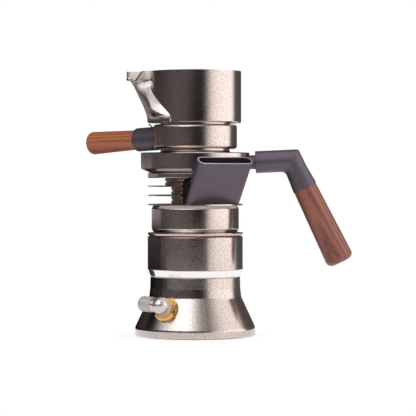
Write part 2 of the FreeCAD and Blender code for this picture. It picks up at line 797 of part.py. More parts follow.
# Clamp ring: turns on the group neck and pulls the jug foot down on the basket seal
def clamp_group():
    bore = size.neck_radius + size.thread_clearance
    shoulder = foot_top + size.thread_clearance
    throat = size.throat_radius + size.thread_clearance
    ring = lathe("clamp_blank", [
        (bore, clamp_bottom), (size.clamp_radius, clamp_bottom), (size.clamp_radius, clamp_top),
        (throat, clamp_top), (throat, shoulder), (bore, shoulder),
    ])
    dress(ring, "Fillet", [(size.clamp_radius, clamp_top), (size.clamp_radius, clamp_bottom)],
          size.clamp_bevel)
    hole = rod("clamp_stud_hole", size.stud_radius, size.stud_start, size.clamp_radius + 2, short_place)
    keep(cut("clamp_ring", ring, hole), "clamp_ring")
    ferrule = tube("ferrule_blank", size.stud_radius, size.ferrule_radius, size.stud_start,
                   size.ferrule_end, short_place)
    dress(ferrule, "Chamfer", [(size.ferrule_radius, size.ferrule_end)], size.ferrule_bevel)
    saddle = rod("ferrule_saddle", size.clamp_radius, clamp_bottom - 20, clamp_top + 20)
    keep(cut("clamp_ferrule", ferrule, saddle), "clamp_ferrule")
    grip = lathe("clamp_grip", [
        (size.stud_radius, size.ferrule_end), (size.short_grip_root, size.ferrule_end),
        (size.short_grip_tip, size.short_grip_end), (0, size.short_grip_end),
        (0, size.stud_end), (size.stud_radius, size.stud_end),
    ], short_place)
    dress(grip, "Fillet", [(size.short_grip_tip, size.short_grip_end)], size.short_grip_round)
    keep(grip, "clamp_grip")
    keep(rod("clamp_stud", size.stud_radius, size.stud_start, size.stud_end, short_place), "clamp_stud")
    tab = document.addObject("Part::Box", "tab_blank")
    for side, amount in (("Length", size.clamp_tab_long + 4), ("Width", size.clamp_tab_wide),
                         ("Height", size.clamp_tab_thick)):
        set_size(tab, side, amount)
    spot = Vector(size.clamp_radius.value - 2.1, -size.clamp_tab_wide.value / 2, clamp_top.value - 6.1)
    turn = Placement(Vector(), Rotation(Vector(0, 0, 1), TAB_AZIMUTH))
    tab.Placement = turn.multiply(Placement(spot, Rotation(Vector(0, 1, 0), -45)))
    tab_saddle = rod("tab_saddle", size.clamp_radius, clamp_bottom - 20, clamp_top + 20)
    keep(cut("clamp_tab", tab, tab_saddle), "clamp_tab")


def bulge(grow, reach, half, root):
    """Half an ellipse in plan from the wall out to reach, closed by a chord, as a wire."""
    points = []
    for i in range(9):
        turn = math.pi * (i / 8 - 0.5)
        out = root + (reach - grow - root) * math.cos(turn)
        points.append(Vector(out, (half - grow) * math.sin(turn), 0))
    curve = Part.BSplineCurve()
    curve.interpolate(points)
    return Part.Wire([curve.toShape(), Part.makeLine(points[-1], points[0])])


def flute_loft(grow):
    """The flute: wide and shallow at the jug's foot, narrow and far out at the lip.

    grow is how far the surface lies inside the outer one. The channel stops short of the
    mouth, so the nose under the lip stays solid, and runs on up through the lip's floor.
    """
    radius = size.jug_radius.value
    bottom, lip_bottom = jug_bottom.value, jug_top.value - size.spout_lip_height.value
    near, far = size.spout_foot_reach.value, size.spout_reach.value
    wide, narrow = size.spout_foot_spread.value, size.spout_lip_half.value
    wires = []
    for share, reach_share, half_share in FLUTE:
        reach = near + (far - near) * reach_share
        if grow:
            reach = min(reach, size.channel_reach.value + grow)
        half = narrow + (wide - narrow) * half_share
        root = math.sqrt(radius ** 2 - half ** 2) - size.jug_wall.value
        wire = bulge(grow, radius + reach, half, root - grow)
        wire.translate(Vector(0, 0, bottom + (lip_bottom - bottom) * share))
        wires.append(wire)
    if grow:
        wires.append(wires[-1].copy())
        wires[-1].translate(Vector(0, 0, size.lip_floor.value))
    return Part.makeLoft(wires, True, False)


def lip_prism(grow, bottom, top):
    """The level gutter at the end of the spout: a round end, straight sides and eased roots."""
    half = size.spout_lip_half.value - grow
    wall = size.jug_radius.value - grow
    ease = size.spout_lip_ease.value + grow
    end = size.jug_radius.value + size.spout_lip_reach.value - grow
    corner = end - half
    centre = Vector(math.sqrt((wall + ease) ** 2 - (half + ease) ** 2), half + ease, 0)
    on_wall = centre * (wall / (wall + ease))
    on_side = Vector(centre.x, half, 0)
    middle = centre + ((on_wall - centre).normalize() + (on_side - centre).normalize()).normalize() * ease
    mirror = [Vector(spot.x, -spot.y, 0) for spot in (on_wall, middle, on_side)]
    root = wall - 3 * size.jug_wall.value
    sides = [
        Part.makeLine(Vector(root, on_wall.y, 0), on_wall),
        Part.Arc(on_wall, middle, on_side).toShape(),
        Part.makeLine(on_side, Vector(corner, half, 0)),
        Part.Arc(Vector(corner, half, 0), Vector(end, 0, 0), Vector(corner, -half, 0)).toShape(),
        Part.makeLine(Vector(corner, -half, 0), mirror[2]),
        Part.Arc(mirror[2], mirror[1], mirror[0]).toShape(),
        Part.makeLine(mirror[0], Vector(root, -on_wall.y, 0)),
        Part.makeLine(Vector(root, -on_wall.y, 0), Vector(root, on_wall.y, 0)),
    ]
    outline = Part.Wire(sides)
    outline.translate(Vector(0, 0, bottom))
    return Part.Face(outline).extrude(Vector(0, 0, top - bottom))


# Jug: open pot with a spout whose mouth is cut on the slant
def jug_group():
    drum = lathe("jug_drum", [
        (0, jug_bottom), (size.jug_radius, jug_bottom), (size.jug_radius, jug_top), (0, jug_top),
    ])
    dress(drum, "Chamfer", [(size.jug_radius, jug_bottom)], 0.8)
    inner = size.jug_radius - size.jug_wall
    room = lathe("jug_room", [
        (0, jug_floor_top), (inner, jug_floor_top), (inner, jug_top + 5), (0, jug_top + 5),
    ])
    dress(room, "Fillet", [(inner, jug_floor_top)], 3.0)
    turn = Placement(Vector(), Rotation(Vector(0, 0, 1), SPOUT_AZIMUTH))
    top, wall = jug_top.value, size.jug_wall.value
    lip_bottom = top - size.spout_lip_height.value
    floor = Part.makeBox(200, 200, size.jug_floor.value, Vector(-100, -100, jug_bottom.value))
    outer = flute_loft(0.0).fuse(lip_prism(0.0, lip_bottom, top))
    channel = flute_loft(wall).cut(floor).fuse(lip_prism(wall, lip_bottom + size.lip_floor.value, top + 5))
    outer_spout = feature("spout_outside", outer, turn)
    inner_spout = feature("spout_inside", channel, turn)
    edge = size.jug_radius.value + size.spout_lip_reach.value - size.spout_lip_half.value + 0.7
    slant_turn = Placement(Vector(edge, 0, lip_bottom), Rotation(Vector(0, 0, 1), MOUTH_TURN))
    mouth = Part.makeBox(60, 120, size.spout_lip_height.value + 20, Vector(0, -60, 0))
    slant = feature("spout_mouth", mouth, turn.multiply(slant_turn))
    throat = rod("jug_throat", size.column_radius + 1, jug_bottom - 1, jug_floor_top + 1)
    blank = join("jug_blank", drum, outer_spout)
    keep(cut("jug_shell", blank, room, inner_spout, slant, throat), "jug_shell")
    foot = lathe("jug_foot", [
        (size.column_bore, seal_face), (size.foot_radius_jug, seal_face), (size.foot_radius_jug, foot_top),
        (size.throat_radius, foot_top), (size.throat_radius, jug_bottom), (size.column_bore, jug_bottom),
    ])
    keep(foot, "jug_foot")
    spacer_bottom = clamp_top + size.spacer_gap
    keep(tube("jug_spacer", size.throat_radius, size.spacer_radius, spacer_bottom, jug_bottom), "jug_spacer")
    base_top = jug_floor_top + 1.8
    shoulder = jug_floor_top + size.column_height
    column = lathe("outlet_column", [
        (size.column_bore, jug_bottom), (size.column_radius + 1, jug_bottom),
        (size.column_radius + 1, jug_floor_top), (size.column_base, jug_floor_top),
        (size.column_base, base_top), (size.column_radius, base_top + 2.5),
        (size.column_radius - 0.8, shoulder - 3.6), (size.column_radius - 3, shoulder - 0.8), (0, shoulder),
        (0, shoulder - 4), (size.column_bore, shoulder - 6),
    ])
    height = (shoulder - 10).value
    drill(column, size.column_hole, [(0.0, height)], "XZ_Plane")
    drill(column, size.column_hole, [(0.0, height)], "YZ_Plane")
    keep(column, "outlet_column")


def ring_section(centre, lean, tall, wide):
    """An ellipse across the handle where the handle's line leans by this angle from level."""
    up = Vector(-math.sin(lean), 0, math.cos(lean))
    tall = max(tall, wide + 0.001)
    curve = Part.Ellipse(centre + up * tall, centre + Vector(0, wide, 0), centre)
    return Part.Wire(curve.toShape())


# Long handle: neck, bent elbow and tapered grip on one line
def elbow_sections():
    """Sections of the elbow: two straight legs, a tight outer corner and an eased inner corner.

    Each section spans from the inner contour to the outer contour and is as wide as the legs.
    """
    start = Vector(size.elbow_start.value, 0, handle_height.value)
    corner = Vector(size.elbow_corner.value, 0, handle_height.value + size.elbow_rise.value)
    first = (corner - start).normalize()
    lean_first = math.atan2(first.z, first.x)
    lean_second = math.atan2(arm_direction.z, arm_direction.x)
    turn = lean_first - lean_second
    thin, thick = size.elbow_radius.value, size.arm_radius.value
    inner, outer = size.elbow_inside.value, size.elbow_outside.value
    back = (thin + inner) * math.tan(turn / 2)
    bend = corner - first * back
    pivot = bend - Vector(-math.sin(lean_first), 0, math.cos(lean_first)) * (thin + inner)
    across = 2 * thin + inner
    sections = [ring_section(start, lean_first, thin, thin), ring_section(bend, lean_first, thin, thin)]
    steps = 12
    for i in range(1, steps):
        share = i / steps
        far = across / math.cos(turn * min(share, 1 - share))
        if 2 * i == steps:
            far = (across - outer) / math.cos(turn / 2) + outer
        lean = lean_first - turn * share
        tall = (far - inner) / 2
        centre = pivot + Vector(-math.sin(lean), 0, math.cos(lean)) * (inner + tall)
        sections.append(ring_section(centre, lean, tall, thin))
    end = corner + arm_direction * size.arm_long.value
    sections.append(ring_section(corner + arm_direction * back, lean_second, thin, thin))
    sections.append(ring_section(end, lean_second, thick, thick))
    return sections


def long_handle():
    sections = elbow_sections()
    legs = [Part.makeLoft(sections[:2], True, True), Part.makeLoft(sections[1:-1], True, False),
            Part.makeLoft(sections[-2:], True, True)]
    blank = feature("elbow_blank", legs[0].fuse(legs[1:]).removeSplitter())
    neck_end = size.elbow_start + size.neck_in_elbow
    stud_end = size.elbow_corner - size.stud_short
    neck = tube("neck_blank", size.stud_radius, size.handle_neck, size.stud_start, neck_end, neck_place)
    saddle = rod("neck_saddle", size.flange_radius, plate_top - 5, flange_top + 5)
    keep(cut("handle_neck", neck, saddle, blank), "handle_neck")
    bore_start = size.elbow_start - size.bore_run
    stud_bore = rod("elbow_stud_bore", size.stud_radius, bore_start, stud_end, neck_place)
    bore_end = size.arm_long + size.bore_run
    rod_bore = rod("elbow_rod_bore", size.stud_radius, size.arm_long / 2, bore_end, arm_place)
    keep(cut("handle_elbow", blank, stud_bore, rod_bore), "handle_elbow")
    keep(rod("handle_stud", size.stud_radius, size.stud_start, stud_end, neck_place), "handle_stud")
    grip_end = size.arm_long + size.long_grip_long
    grip = lathe("long_grip", [
        (size.stud_radius, size.arm_long), (size.long_grip_root, size.arm_long),
        (size.long_grip_tip, grip_end), (0, grip_end), (0, size.rod_end), (size.stud_radius, size.rod_end),
    ], arm_place)
    dress(grip, "Fillet", [(size.long_grip_tip, grip_end)], size.long_grip_round)
    keep(grip, "long_grip")
    keep(rod("grip_rod", size.stud_radius, size.arm_long / 2, size.rod_end, arm_place), "grip_rod")


# Thumb guard: a flat-sided oval tube that leans outward, with the block behind it
def guard_frame(along_face, height, tilt_out=0.0):
    """A placement at a spot of the guard: local X across it, local Z along its length."""
    base = guard_out * along_face + guard_side * size.guard_shift.value + Vector(0, 0, height)
    lean = Rotation(Vector(0, 0, 1), GUARD_AZIMUTH + 90).multiply(
        Rotation(Vector(1, 0, 0), GUARD_LEAN + tilt_out))
    return Placement(base, lean)


def guard_tube(name, wall, grow, below, above):
    """A solid oval bar on the guard's line, wall inside its outer surface and grow outside it."""
    radius = size.guard_deep / 2 - wall + grow
    half = size.guard_width / 2 - size.guard_deep / 2
    place = guard_place.multiply(Placement(Vector(0, 0, -below), Rotation()))
    return pad(name, lambda sketch: draw_slot(sketch, half, radius), size.guard_long + below + above, place)


def guard_group():
    shell = guard_tube("guard_outside", 0.0, 0.0, 20.0, 0.0)
    hollow = guard_tube("guard_inside", size.guard_wall, 0.0, 25.0, 5.0)
    below = document.addObject("Part::Box", "guard_trim")
    below.Length, below.Width, below.Height = 300, 300, 100
    below.Placement = Placement(Vector(-150, -150, lower_fin_top.value - 100), Rotation())
    half = size.guard_block_half
    deep = size.core_radius - 4

    def plan(sketch):
        draw_outline(sketch, [
            (half * -1, half * -1), (half * 0.57 * -1, deep * -1), (half * 0.57, deep * -1),
            (half, half * -1), (half, size.fin_radius * -1), (half * -1, size.fin_radius * -1),
        ])

    flat = Placement(Vector(0, 0, lower_fin_top.value), Rotation(Vector(0, 0, 1), GUARD_AZIMUTH + 90))
    block = pad("guard_block_blank", plan, upper_core_top - lower_fin_top, flat)
    round_block(block)
    low_core = rod("block_low_core", size.core_radius, lower_fin_top, upper_fin_top)
    high_core = rod("block_high_core", size.top_core_radius, upper_fin_top, upper_core_top)
    bar = guard_tube("guard_bar", 0.0, 0.0, 30.0, 0.0)
    front = document.addObject("Part::Box", "block_front")
    front.Length, front.Width, front.Height = 200, 60, 200
    front.Placement = guard_place.multiply(Placement(Vector(-100, -60, -100), Rotation()))
    block_holes = [screw(f"block_hole_{i}", side, size.screw_radius) for i, side in enumerate((-1, 1))]
    keep(cut("guard_block", block, low_core, high_core, bar, front, *block_holes), "guard_block")
    wall_holes = [screw(f"wall_hole_{i}", side, size.screw_radius) for i, side in enumerate((-1, 1))]
    keep(cut("thumb_guard", shell, hollow, below, *wall_holes), "thumb_guard")
    for side, label in ((-1, "guard_screw_left"), (1, "guard_screw_right")):
        keep(screw(label, side, size.screw_head), label)


def round_block(block):
    """Round the two upright front-view corners at the top of the block."""
    document.recompute()
    base = block.Tip
    height = (upper_core_top - lower_fin_top).value
    names = []
    for number, edge in enumerate(base.Shape.Edges, start=1):
        ends = [vertex.Point for vertex in edge.Vertexes]
        level = all(abs(point.z - height) < 1e-3 for point in ends)
        side = all(abs(abs(point.x) - size.guard_block_half.value) < 1e-3 for point in ends)
        if level and side and abs(ends[0].x - ends[1].x) < 1e-3:
            names.append(f"Edge{number}")
    rounding = block.newObject("PartDesign::Fillet", "block_rounding")
    rounding.Base = (base, names)
    set_size(rounding, "Radius", size.guard_block_round)
    block.Tip = rounding


def screw(name, side, head):
    """A screw through the guard's back wall into the block, its head inside the guard."""
    back = size.guard_deep.value / 2 - size.guard_wall.value
    start = Vector(side * size.screw_apart.value, back, size.screw_height.value)
    inward = Vector(0, 1, 0)
    shank = Part.makeCylinder(size.screw_radius.value, size.screw_long.value, start, inward)
    top = Part.makeCylinder(head.value, size.screw_head_thick.value,
                            start - inward * size.screw_head_thick.value, inward)
    return feature(name, shank.fuse(top), guard_place)


def notch_tool():
    """The gap in the two upper fins where the guard and its block stand."""
    half = size.guard_notch
    near = size.core_radius - 4.3

    def plan(sketch):
        draw_outline(sketch, [
            (half * -1, near * -1), (size.fin_radius, near * -1),
            (size.fin_radius, size.fin_radius * -1 - 5), (half * -1, size.fin_radius * -1 - 5),
        ])

    flat = Placement(Vector(0, 0, lower_core_top.value - 1), Rotation(Vector(0, 0, 1), GUARD_AZIMUTH + 90))
    block = pad("notch_block", plan, upper_fin_top - lower_core_top + 2, flat)
    core = rod("notch_core", size.core_radius, lower_core_top - 2, upper_fin_top + 2)
    return cut("fin_notch", block, core)


valve_place = along(size.valve_axis_height, VALVE_AZIMUTH, VALVE_TILT)
cap_place = Placement(
    valve_place.multVec(Vector(0, 0, size.ball_centre.value)),
    Rotation(Vector(0, 0, 1), direction(VALVE_AZIMUTH - 90, CAP_TILT)),
)
short_place = along(size.short_axis_height, SHORT_HANDLE_AZIMUTH, SHORT_HANDLE_DROOP)
neck_place = along(handle_height, 0.0, 0.0)
arm_direction = direction(0.0, ARM_FROM_VERTICAL - 90.0)
arm_place = Placement(
    Vector(size.elbow_corner.value, 0, (handle_height + size.elbow_rise).value),
    Rotation(Vector(0, 0, 1), arm_direction),
)
guard_out = direction(GUARD_AZIMUTH)
guard_side = direction(GUARD_AZIMUTH + 90)
lean_radians = math.radians(GUARD_LEAN)
guard_inset = size.guard_deep.value / 2 * math.cos(lean_radians)
guard_drop = size.guard_deep.value / 2 * math.sin(lean_radians)
guard_place = guard_frame(size.guard_reach.value - guard_inset, lower_fin_top.value + guard_drop)
guard_space = guard_tube("guard_space", 0.0, size.guard_clearance, 10.0, 5.0)

base_group()
relief_valve()
second_boiler()
heating_tube()
heat_sink(notch_tool(), guard_space)
group(guard_space)
basket_parts()
clamp_group()
jug_group()
long_handle()
guard_group()
document.recompute()

for thing in document.Objects:
    if "Invalid" in thing.State or "Error" in thing.State:
        raise RuntimeError(f"{thing.Label} failed: {thing.State}")
os.makedirs("parts", exist_ok=True)
for thing in nodes:
    shape = thing.Shape
    if shape.isNull() or not shape.isValid() or shape.Volume <= 0:
        raise RuntimeError(f"{thing.Label} has no valid solid")
    shape.exportStep(f"parts/{thing.Label}.step")
    print(f"{thing.Label}: {len(shape.Solids)} solid, {shape.Volume:.1f} mm3")
print(f"{len(nodes)} pieces")
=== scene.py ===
# %% [markdown]
# # Dressing a stovetop espresso maker
# The pot comes as a fixed frame: fifty solids that a CAD program made and packed. Nothing of it
# is moved here. Each solid gets a finish that is computed by shader nodes, and three of them, the
# jug with its spout and two rings that catch the light, are built again as finer surfaces.

# %% Load the frame
import math

import bmesh
import bpy
import numpy as np
from mathutils import Matrix, Vector


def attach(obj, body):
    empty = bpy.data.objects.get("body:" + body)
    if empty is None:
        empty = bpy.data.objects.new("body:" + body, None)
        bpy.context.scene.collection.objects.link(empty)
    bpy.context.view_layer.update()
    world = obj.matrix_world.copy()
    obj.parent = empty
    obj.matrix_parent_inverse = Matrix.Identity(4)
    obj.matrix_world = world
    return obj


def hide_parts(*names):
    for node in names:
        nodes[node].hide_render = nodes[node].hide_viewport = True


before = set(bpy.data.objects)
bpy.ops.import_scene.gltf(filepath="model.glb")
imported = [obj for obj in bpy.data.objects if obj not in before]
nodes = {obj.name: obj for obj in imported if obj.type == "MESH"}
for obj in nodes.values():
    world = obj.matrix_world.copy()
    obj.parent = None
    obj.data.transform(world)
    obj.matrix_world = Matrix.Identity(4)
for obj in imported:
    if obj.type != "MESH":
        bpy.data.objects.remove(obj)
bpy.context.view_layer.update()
scene = bpy.context.scene
scene.view_settings.view_transform = "Standard"
MM = 0.001

# %% [markdown]
# ## The camera
# The photograph was taken from far away with a long lens, a little above the middle of the pot.
# A far camera keeps upright edges parallel, so a long lens is right and a wide one is not.

# %% Camera
LENS = 177.0
EYE = Vector((0.011, -1.76, 0.138))
TARGET = Vector((0.011, 0.0, 0.110))
camera_data = bpy.data.cameras.new("camera")
camera_data.lens = LENS
camera = bpy.data.objects.new("camera", camera_data)
camera.location = EYE
camera.rotation_euler = (TARGET - EYE).to_track_quat("-Z", "Y").to_euler()
scene.collection.objects.link(camera)
scene.camera = camera
print("camera", round(EYE.length, 2), "m away")

# %% [markdown]
# ## Surfaces from arrays
# A new piece is a grid of points, worked out for the whole grid at once. Neighbouring points
# make four-sided faces. A grid may close on itself around, along, or both. A turned piece and the
# jug close both ways, like a tyre, so neither has an open edge.


# %% Grids to meshes
def link_mesh(name, points, faces, smooth_angle=35.0):
    """A mesh object whose faces turn smooth, with sharp edges above an angle in degrees."""
    mesh = bpy.data.meshes.new(name)
    mesh.from_pydata(points.tolist(), [], faces.tolist())
    mesh.validate()
    thing = bpy.data.objects.new(name, mesh)
    scene.collection.objects.link(thing)
    mesh.shade_smooth()
    mesh.set_sharp_from_angle(angle=math.radians(smooth_angle))
    return thing


def grid_faces(rows, columns, around, along=False):
    """Corner numbers of the faces between rows and columns of a grid, closed where asked."""
    row = np.arange(rows if along else rows - 1)
    column = np.arange(columns if around else columns - 1)
    first, second = np.meshgrid(row, column, indexing="ij")
    next_row, next_column = (first + 1) % rows, (second + 1) % columns
    corners = [
        first * columns + second, first * columns + next_column,
        next_row * columns + next_column, next_row * columns + second,
    ]
    return np.stack([corner.ravel() for corner in corners], axis=1)


def turned(name, profile, steps=160):
    """A lathe-turned piece: pairs of radius and height in mm, swept about the pot's axis.

    Point = (r cos t, r sin t, h), for t all the way round. The profile ends where it starts.
    """
    profile = np.array(profile, float) * MM
    turn = np.linspace(0, 2 * math.pi, steps, endpoint=False)
    ring = np.stack([np.cos(turn), np.sin(turn), np.zeros(steps)], axis=1)
    points = profile[:, None, :1] * ring[None] + profile[:, None, 1:] * np.array([0.0, 0.0, 1.0])
    piece = link_mesh(name, points.reshape(-1, 3), grid_faces(len(profile), steps, around=True))
    close_seam(piece)
    return piece


def close_seam(piece, gap=1e-6):
    """Merge points that lie in one spot and turn every face outwards."""
    work = bmesh.new()
    work.from_mesh(piece.data)
    bmesh.ops.remove_doubles(work, verts=work.verts, dist=gap)
    bmesh.ops.recalc_face_normals(work, faces=work.faces)
    work.to_mesh(piece.data)
    work.free()


def smooth_profile(corners, radius, steps=6):
    """Round each inner corner of a profile: corners are (radius, height, rounding) triples.

    A corner becomes the curve (1 - t)^2 start + 2 t (1 - t) corner + t^2 end. One without a
    rounding of its own gets the radius, and one with 0 stays sharp.
    """
    spots = [np.array(corner[:2], float) for corner in corners]
    line = [spots[0]]
    for before, here, after, corner in zip(spots, spots[1:], spots[2:], corners[1:-1]):
        ease = corner[2] if len(corner) > 2 else radius
        if ease <= 0:
            line.append(here)
            continue
        into, out = before - here, after - here
        into, out = into / np.linalg.norm(into), out / np.linalg.norm(out)
        start, end = here + into * ease, here + out * ease
        share = np.linspace(0, 1, steps)[:, None]
        line.extend((1 - share) ** 2 * start + 2 * share * (1 - share) * here + share**2 * end)
    line.append(spots[-1])
    return np.array(line)


# %% [markdown]
# ## Shader maths as Python
# A material is a small network of nodes. Writing `1 - mask` is clearer than wiring a Subtract
# node by hand, so one class wraps a socket and gives it the usual operators.


# %% Values and paints
class Value:
    """An output socket that can stand in a Python expression."""

    def __init__(self, paint, socket):
        self.paint = paint
        self.socket = socket

    def math(self, operation, first, second=None):
        sockets = {0: first} if second is None else {0: first, 1: second}
        return self.paint.node("Math", {"operation": operation}, sockets)

    def __add__(self, other):
        return self.math("ADD", self, other)

    def __sub__(self, other):
        return self.math("SUBTRACT", self, other)

    def __rsub__(self, other):
        return self.math("SUBTRACT", other, self)

    def __mul__(self, other):
        return self.math("MULTIPLY", self, other)

    def __pow__(self, other):
        return self.math("POWER", self, other)

    __radd__ = __add__
    __rmul__ = __mul__

    def sine(self):
        return self.math("SINE", self)

    def ramp(self, low, high):
        """0 below low, 1 above high, and an even slope between."""
        sockets = {"Value": self, "From Min": low, "From Max": high}
        return self.paint.node("MapRange", {"clamp": True}, sockets)


class Paint:
    """One material, or the world, and the nodes in it."""

    def __init__(self, name, world=None):
        self.material = world or bpy.data.materials.new(name)
        self.material.use_nodes = True
        self.tree = self.material.node_tree
        self.tree.nodes.clear()

    def node(self, kind, settings=None, sockets=None, output=0):
        """Add a node: first its settings, then the numbers or links of its sockets."""
        made = self.tree.nodes.new("ShaderNode" + kind)
        for name, value in (settings or {}).items():
            if name == "stops":
                self.set_stops(made.color_ramp, value)
            else:
                setattr(made, name, value)
        for name, value in (sockets or {}).items():
            self.feed(made.inputs[name], value)
        return Value(self, made.outputs[output]) if len(made.outputs) else None

    def feed(self, socket, value):
        """Link a value to a socket, or set the socket to a plain number or colour."""
        if isinstance(value, Value):
            self.tree.links.new(value.socket, socket)
        elif isinstance(value, (tuple, list, Vector)) and socket.type == "RGBA":
            socket.default_value = (*value, 1.0) if len(value) == 3 else value
        else:
            socket.default_value = value

    @staticmethod
    def set_stops(ramp, stops):
        """Give a colour ramp its (position, colour) stops."""
        for extra in range(len(stops) - 2):
            ramp.elements.new(0.5)
        for element, (spot, colour) in zip(ramp.elements, stops):
            element.position = spot
            element.color = (*colour, 1.0)

    def object_place(self, place=None, stretch=(1.0, 1.0, 1.0)):
        """Object coordinates in metres, seen from a place on the piece, and stretched."""
        spot = self.node("TexCoord", output=3)
        if place is not None:
            sockets = {"Vector": spot, "Location": place.to_translation(), "Rotation": place.to_euler()}
            spot = self.node("Mapping", {"vector_type": "TEXTURE"}, sockets)
        if stretch != (1.0, 1.0, 1.0):
            spot = self.node("Mapping", {"vector_type": "POINT"}, {"Vector": spot, "Scale": stretch})
        return spot

    def noise(self, spot, grain, detail=2.0, rough=0.5, distortion=0.0):
        """Cloudy noise whose lumps are about this many metres wide."""
        sockets = {"Vector": spot, "Scale": 1 / grain, "Detail": detail, "Roughness": rough,
                   "Distortion": distortion}
        return self.node("TexNoise", {}, sockets)

    def axes(self, spot):
        """The three numbers of a vector."""
        parts = self.tree.nodes.new("ShaderNodeSeparateXYZ")
        self.feed(parts.inputs[0], spot)
        return [Value(self, output) for output in parts.outputs]

    def mix(self, share, first, second):
        """A colour between two colours."""
        return self.node("Mix", {"data_type": "RGBA"}, {0: share, 6: first, 7: second}, output=2)

    def bump(self, height, depth, strength=1.0):
        """Surface relief this many metres deep."""
        return self.node("Bump", {}, {"Strength": strength, "Distance": depth, "Height": height})

    def finish(self, colour, roughness, metallic=0.0, normal=None, **extra):
        """The surface itself. Extra sockets are named with _ for a space."""
        sockets = {"Base Color": colour, "Roughness": roughness, "Metallic": metallic}
        if normal is not None:
            sockets["Normal"] = normal
        for name, value in extra.items():
            sockets[name.replace("_", " ")] = value
        surface = self.node("BsdfPrincipled", {}, sockets)
        self.node("OutputMaterial", {}, {"Surface": surface})
        return self.material


# %% [markdown]
# ## Places of the handles and the guard
# A grip's grain follows its own axis, and the thumb guard's coat is worn off along its top edge.
# So each of these pieces has a place: where its axis starts and which way it points. They are
# the same figures that the solids have, and a pattern can then be written as if it stood upright.


# %% Axes of the handles and the guard
def axis_place(start, direction):
    """A matrix whose own Z runs along the direction from the start."""
    turn = Vector(direction).to_track_quat("Z", "Y")
    return Matrix.Translation(Vector(start)) @ turn.to_matrix().to_4x4()


def heading(azimuth, rise=0.0):
    """A direction by its angle about Z from +X and its rise from level, in degrees."""
    a, e = math.radians(azimuth), math.radians(rise)
    return Vector((math.cos(e) * math.cos(a), math.cos(e) * math.sin(a), math.sin(e)))


long_place = axis_place((0.083, 0, 0.1508), heading(0, -64))
short_place = axis_place((0, 0, 0.1723), heading(142, -2.7))
guard_place = axis_place((0.01458, -0.02444, 0.11638), (0.2625, -0.4937, 0.829))
print("handles start at", [[round(x, 3) for x in place.translation] for place in (long_place, short_place)])

# %% [markdown]
# ## Blasted and bright metal
# The drum, jug and base are steel that was blasted with fine beads: dull close up, with a
# faint speckle, yet smooth enough to mirror a lamp as a soft-edged strip. The speckle is one
# fine noise that feeds colour, roughness and relief together, so that they agree.


# %% Metal finishes
SPOUT_START, SPOUT_FULL = 0.0415, 0.0445


def blasted_metal(name, colour, roughness=0.19, speck=0.16, grain=0.0009, relief=0.000007,
                  metallic=1.0, spout=0.0):
    """Metal with a fine even speckle and faint cloudy handling marks.

    spout is how much duller it is far from the pot's axis, where only the jug's spout reaches.
    """
    paint = Paint(name)
    spot = paint.object_place()
    fine = paint.noise(spot, grain, detail=4.0, rough=0.65)
    coarse = paint.noise(spot, 0.018, detail=3.0)
    dark = [c * (1 - 3 * speck) for c in colour]
    light = [min(1, c * (1 + 3 * speck)) for c in colour]
    tone = paint.mix(fine.ramp(0.25, 0.75), dark, light)
    dull = roughness - 0.015 + 0.03 * coarse.ramp(0.3, 0.7) + 0.05 * (fine - 0.5)
    if spout:
        x, y = paint.axes(spot)[:2]
        dull = dull + spout * ((x * x + y * y) ** 0.5).ramp(SPOUT_START, SPOUT_FULL)
    return paint.finish(tone, dull, metallic, paint.bump(fine, relief))


def turned_metal(name, colour, roughness=0.2, pitch=0.00035, relief=0.000004, cloud=0.05):
    """Metal cut on a lathe: hair-fine rings about the pot's axis, and a little uneven shine."""
    paint = Paint(name)
    spot = paint.object_place()
    x, y, z = paint.axes(spot)
    radius = (x * x + y * y) ** 0.5
    rings = (2 * math.pi / pitch * (z + radius)).sine()
    wander = paint.noise(spot, 0.004, detail=3.0)
    dark = [c * (1 - cloud) for c in colour]
    light = [min(1, c * (1 + cloud)) for c in colour]
    tone = paint.mix(wander.ramp(0.3, 0.7), dark, light)
    return paint.finish(tone, roughness + 0.05 * (wander - 0.5), 1.0, paint.bump(rings, relief))


blasted_steel = blasted_metal("blasted_steel", (0.62, 0.54, 0.50))
jug_steel = blasted_metal("jug_steel", (0.63, 0.55, 0.515), spout=0.22)
# The jug's cut edge is painted dark: a painted reflection that stands in for the dark it mirrors.
cut_edge_painted_reflection = blasted_metal("cut_edge_painted_reflection", (0.10, 0.08, 0.08), 0.35, 0.05)
hob_plate = turned_metal("hob_plate", (0.17, 0.16, 0.16), 0.38)
polished = turned_metal("polished", (0.84, 0.80, 0.785), 0.14)
bright_ring = turned_metal("bright_ring", (0.96, 0.91, 0.915), 0.13, cloud=0.01)
fin_metal = turned_metal("fin_metal", (0.66, 0.62, 0.60), 0.2)
bronzed_core = turned_metal("bronzed_core", (0.42, 0.33, 0.27), 0.26)
inner_steel = turned_metal("inner_steel", (0.56, 0.54, 0.52), 0.3)
spring_steel = turned_metal("spring_steel", (0.55, 0.55, 0.57), 0.2)
brass = turned_metal("brass", (0.82, 0.47, 0.13), 0.17)
# The valve's body and cap are dulled by heat and scale, so they count as less than full metal.
valve_polish = blasted_metal("valve_polish", (0.66, 0.60, 0.58), 0.27, 0.05, 0.0008, 0.000010, 0.85)
cap_alloy = blasted_metal("cap_alloy", (0.48, 0.43, 0.42), 0.5, 0.06, 0.0006, 0.000012, 0.5)
print(len(bpy.data.materials), "materials with the metals")

# %% [markdown]
# ## Coats, rubber and plastic
# The handle's elbow and the ferrule wear a soft matte coat, and the thumb guard a darker one
# that is worn bright along its top edge. Coats are not metals: they keep their own dark colour,
# and only their skin reflects.


# %% Coats and soft finishes
BARE_METAL, RIM_BLEND = (0.86, 0.80, 0.80), 0.0001


